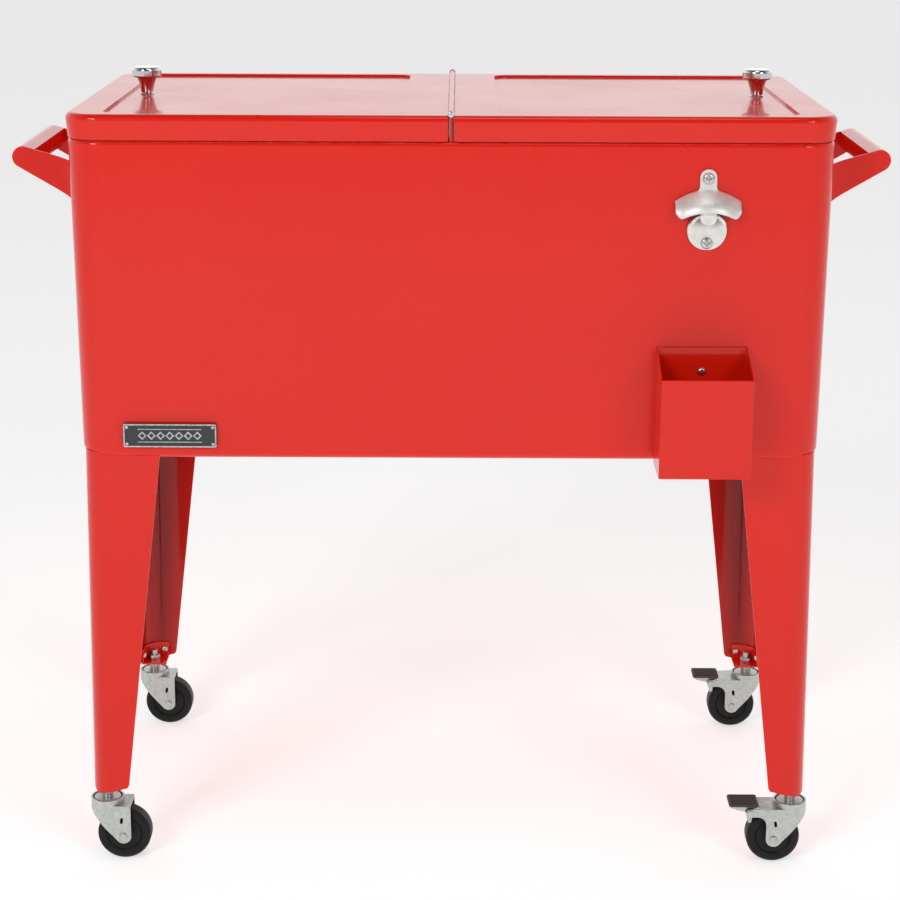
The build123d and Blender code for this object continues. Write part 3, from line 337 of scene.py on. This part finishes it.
def pedal_plastic():
    """Dark brown moulded plastic, scuffed paler along its ribs."""
    material, tree, shader = new_material("pedal_plastic", Specular_IOR_Level=0.35)
    patches = remap(tree, noise(tree, 500.0), 0.35, 0.6, 0.2, 1.0)
    scuff = multiply(tree, edge_mask(tree, 0.5 * mm), patches)
    tone = mix_color(tree, scuff, (0.060, 0.050, 0.044, 1), (0.17, 0.15, 0.135, 1))
    tree.links.new(tone, shader.inputs["Base Color"])
    tree.links.new(remap(tree, noise(tree, 70.0), 0.3, 0.7, 0.45, 0.65), shader.inputs["Roughness"])
    set_bump(tree, shader, noise(tree, 1800.0), 0.04 * mm)
    return material


def antique_plate(face_y, relief):
    """Darkened metal, rubbed bright on what stands proud of face_y by its relief."""
    material, tree, shader = new_material("antique_plate", Metallic=0.9)
    split = add_node(tree, "ShaderNodeSeparateXYZ", {0: place(tree)})
    proud = remap(tree, split.outputs["Y"], face_y - 0.25 * relief, face_y - 0.8 * relief, 0.0, 1.0)
    patina = remap(tree, noise(tree, 420.0, 5.0), 0.35, 0.65, 0.55, 1.0)
    rubbed = multiply(tree, proud, patina)
    tone = mix_color(tree, rubbed, (0.075, 0.080, 0.082, 1), (0.60, 0.63, 0.63, 1))
    tree.links.new(tone, shader.inputs["Base Color"])
    tree.links.new(remap(tree, rubbed, 0.0, 1.0, 0.60, 0.28), shader.inputs["Roughness"])
    set_bump(tree, shader, noise(tree, 1300.0, 4.0), 0.06 * mm)
    return material


def drain_plastic():
    """Pale grey moulded plastic of the drain."""
    material, tree, shader = new_material("drain_plastic")
    tone = mix_color(tree, noise(tree, 80.0), (0.62, 0.62, 0.60, 1), (0.74, 0.74, 0.72, 1))
    tree.links.new(tone, shader.inputs["Base Color"])
    tree.links.new(remap(tree, noise(tree, 60.0), 0.3, 0.7, 0.4, 0.55), shader.inputs["Roughness"])
    set_bump(tree, shader, noise(tree, 1600.0), 0.03 * mm)
    return material


plate_front_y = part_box("nameplate")[0].y
plate_relief = 0.8 * mm
# How much painted shade darkens the inner side of the legs' fold.
leg_painted_shade_amount = 0.85

materials = {
    "red_paint": red_powder_coat("red_powder_coat"),
    "leg_paint_painted_shade": red_powder_coat("leg_powder_coat_painted_shade", leg_painted_shade_amount),
    "white_plastic": white_liner(),
    "foam": rigid_foam(),
    "chrome": metal("chrome", (0.64, 0.65, 0.66), (0.70, 0.71, 0.72), (0.04, 0.10), 900.0, 0.01 * mm),
    "screw_steel": metal(
        "screw_steel", (0.48, 0.48, 0.46), (0.66, 0.66, 0.64), (0.22, 0.36), 2500.0, 0.02 * mm
    ),
    "zinc_steel": zinc_plate(),
    "wheel_rubber": hard_rubber(),
    "pedal_plastic": pedal_plastic(),
    "cast_metal": metal(
        "satin_casting",
        (0.72, 0.71, 0.68),
        (0.86, 0.85, 0.81),
        (0.38, 0.52),
        1100.0,
        0.05 * mm,
        metallic=0.6,
        # A wide reach, so painted shade fills the opener's mouth under the hood.
        crevice_shade_reach=15 * mm,
    ),
    "plate_metal": antique_plate(plate_front_y + plate_relief, plate_relief),
    "drain_plastic": drain_plastic(),
}
slot_of = {part["node"]: part["material_slot"] for part in frame["record"]["subparts"]}


def paint(obj, node):
    """Gives every face of a piece the material of its node; the legs get their own paint, which carries
    painted shade on the inner side of their fold.
    """
    finish = slot_of[node]
    # The legs' red paint is the copy with painted shade inside the fold.
    if finish == "red_paint" and node.startswith("leg_"):
        finish = "leg_paint_painted_shade"
    obj.data.materials.clear()
    obj.data.materials.append(materials[finish])


for name, obj in nodes.items():
    paint(obj, name)

# ---------------------------------------------------------------- new pieces


def add_piece(name, mesh, node):
    """Puts a mesh in the scene in place of a CAD node, on that node's body and in its slot."""
    piece = bpy.data.objects.new(name, mesh)
    bpy.context.scene.collection.objects.link(piece)
    for face in mesh.polygons:
        face.use_smooth = True
    paint(piece, node)
    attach(piece, nodes[node]["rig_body"])
    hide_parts(node)
    return piece


weld_gap = 0.001 * mm
flat_angle = 0.4  # degrees between faces that count as one flat
sharp_angle = 35.0  # degrees between faces whose edge is rolled


def soften(node, width):
    """Stands a copy of a CAD node with its sharp edges rolled over in the node's place."""
    mesh = nodes[node].data.copy()
    work = bmesh.new()
    work.from_mesh(mesh)
    bmesh.ops.remove_doubles(work, verts=work.verts, dist=weld_gap)
    bmesh.ops.dissolve_limit(
        work, angle_limit=radians(flat_angle), verts=work.verts, edges=work.edges, delimit={"NORMAL"}
    )
    work.to_mesh(mesh)
    work.free()
    piece = add_piece(node + "_edged", mesh, node)
    bevel = piece.modifiers.new("rolled_edges", "BEVEL")
    bevel.width = width
    bevel.segments = 2
    bevel.limit_method = "ANGLE"
    bevel.angle_limit = radians(sharp_angle)
    flats = piece.modifiers.new("flat_faces", "WEIGHTED_NORMAL")
    flats.keep_sharp = True


# Width of the rolled edge on each node that has one.
edged = {
    "cap_catcher": 0.35 * mm,
    "handle_left": 0.5 * mm,
    "handle_right": 0.5 * mm,
    "brake_lever_front": 0.3 * mm,
    "brake_lever_rear": 0.3 * mm,
    "brake_pedal_front": 0.25 * mm,
    "brake_pedal_rear": 0.25 * mm,
    "lid_shell_left": 0.5 * mm,
    "lid_shell_right": 0.5 * mm,
    "stem_nuts": 0.3 * mm,
    "nameplate": 0.15 * mm,
}
for side in ("left", "right"):
    for end in ("front", "rear"):
        edged[f"leg_{end}_{side}"] = 0.35 * mm
        edged[f"caster_fork_{end}_{side}"] = 0.4 * mm
        edged[f"caster_bracket_{end}_{side}"] = 0.3 * mm
        edged[f"caster_stem_{end}_{side}"] = 0.3 * mm
for node, width in edged.items():
    soften(node, width)

# ---------------------------------------------------------------- bottle opener

opener_low, opener_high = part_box("bottle_opener")
opener_at = Vector(((opener_low.x + opener_high.x) / 2, opener_high.y, opener_high.z))

# Millimetres: x from the opener's middle, z up from its top, depth out from the tub.
tongue_r, tongue_end_z = 8.6, -48.0
disc_r, disc_z = 20.0, -62.0
plate_thick = 3.2
cheek_wall, cheek_near, cheek_far = 3.2, 1.0, 13.0
cheek_arcs = ((22, 84), (96, 158))
tooth_r, tooth_z, tooth_top_z, tooth_near, tooth_far = 8.4, -47.0, -38.0, 8.0, 14.5
web_outline = [(-9, -36), (9, -36), (7, -44), (-7, -44)]
web_near, web_far = 2.0, 17.0
fillet_outline = [(8.0, -17.5), (8.0, -27.0), (14.5, -23.6), (10.0, -21.2)]
hood_half, hood_reach, hood_wall, hood_root = 33.6, 22.0, 3.0, 2.0
hood_round = 40.0  # half the length of the ellipse that the hood follows from above
hood_top_z, hood_top_drop = -20.5, 11.5
lip_z, lip_drop, lip_half, lip_curl = -41.5, 7.0, 27, 0.13
casting_voxel = 0.62 * mm


def opener_point(x, depth, z):
    """A point given in millimetres right, out from the tub and up from the opener's top."""
    return opener_at + Vector((x, -depth, z)) * mm


def arc(radius, start, end, count, centre_z=0.0):
    """Points (x, z) along an arc, its angles in degrees."""
    steps = [radians(start + (end - start) * i / count) for i in range(count + 1)]
    return [(radius * cos(a), centre_z + radius * sin(a)) for a in steps]


def add_prism(work, outline, near, far):
    """A closed block of the opener with that outline, between two depths."""
    back = [work.verts.new(opener_point(x, near, z)) for x, z in outline]
    front = [work.verts.new(opener_point(x, far, z)) for x, z in outline]
    work.faces.new(back)
    work.faces.new(reversed(front))
    for i in range(len(outline)):
        j = (i + 1) % len(outline)
        work.faces.new((back[j], back[i], front[i], front[j]))


def hood_point(x, share, inset):
    """A point of the hood's skin: share runs from its upper edge on the plate to its lower lip."""
    side = abs(x) / hood_half
    upper = hood_top_z - hood_top_drop * side**2
    if abs(x) < lip_half:
        lower = lip_z - lip_drop * (x / lip_half) ** 2
    else:
        lower = lip_z - lip_drop + lip_curl * (abs(x) - lip_half) ** 2
    reach = hood_reach * sqrt(1 - (x / hood_round) ** 2)
    depth = hood_root + (reach - hood_root - inset) * sin(share * pi / 2) ** 0.8
    z = upper - 1.3 * inset * (1 - share) + (lower - upper) * share
    return opener_point(x * (1 - 0.09 * inset / hood_wall), depth, z)


def add_hood(work):
    """The curved hood, a closed skin hood_wall thick that stands out over the disc."""
    columns, rows = 44, 14
    skins = []
    for inset in (0.0, hood_wall):
        skin = []
        for i in range(columns + 1):
            x = hood_half * (2 * i / columns - 1)
            skin.append([work.verts.new(hood_point(x, j / rows, inset)) for j in range(rows + 1)])
        skins.append(skin)
    outer, inner = skins
    for i in range(columns):
        for j in range(rows):
            quad = [(i, j), (i + 1, j), (i + 1, j + 1), (i, j + 1)]
            work.faces.new([outer[a][b] for a, b in reversed(quad)])
            work.faces.new([inner[a][b] for a, b in quad])
    rim = [(i, 0) for i in range(columns)]
    rim += [(columns, j) for j in range(rows)]
    rim += [(i, rows) for i in range(columns, 0, -1)]
    rim += [(0, j) for j in range(rows, 0, -1)]
    for k, (a, b) in enumerate(rim):
        c, d = rim[(k + 1) % len(rim)]
        work.faces.new((outer[a][b], outer[c][d], inner[c][d], inner[a][b]))


def make_opener():
    """One casting: tongue and disc on the tub, raised cheeks, a tooth, and the hood over them."""
    work = bmesh.new()
    tongue = arc(tongue_r, 0, 180, 24, -tongue_r)
    tongue += [(-tongue_r, tongue_end_z), (tongue_r, tongue_end_z)]
    add_prism(work, tongue, 0.0, plate_thick)
    add_prism(work, arc(disc_r, 0, 357, 119, disc_z), 0.0, plate_thick)
    for start, end in cheek_arcs:
        ring = arc(disc_r, start, end, 24, disc_z)
        ring += arc(disc_r - cheek_wall, end, start, 24, disc_z)
        add_prism(work, ring, cheek_near, cheek_far)
    tooth = arc(tooth_r, 180, 360, 24, tooth_z) + [(tooth_r, tooth_top_z), (-tooth_r, tooth_top_z)]
    add_prism(work, tooth, tooth_near, tooth_far)
    add_prism(work, web_outline, web_near, web_far)
    for side in (-1, 1):
        fillet = [(side * x, z) for x, z in fillet_outline]
        add_prism(work, fillet if side < 0 else fillet[::-1], 0.0, plate_thick)
    add_hood(work)
    bmesh.ops.recalc_face_normals(work, faces=work.faces)
    mesh = bpy.data.meshes.new("opener_casting")
    work.to_mesh(mesh)
    work.free()
    piece = add_piece("opener_casting", mesh, "bottle_opener")
    cast = piece.modifiers.new("cast_as_one", "REMESH")
    cast.mode = "VOXEL"
    cast.voxel_size = casting_voxel
    cast.use_smooth_shade = True
    fillets = piece.modifiers.new("soft_fillets", "SMOOTH")
    fillets.factor = 0.5
    fillets.iterations = 7


make_opener()
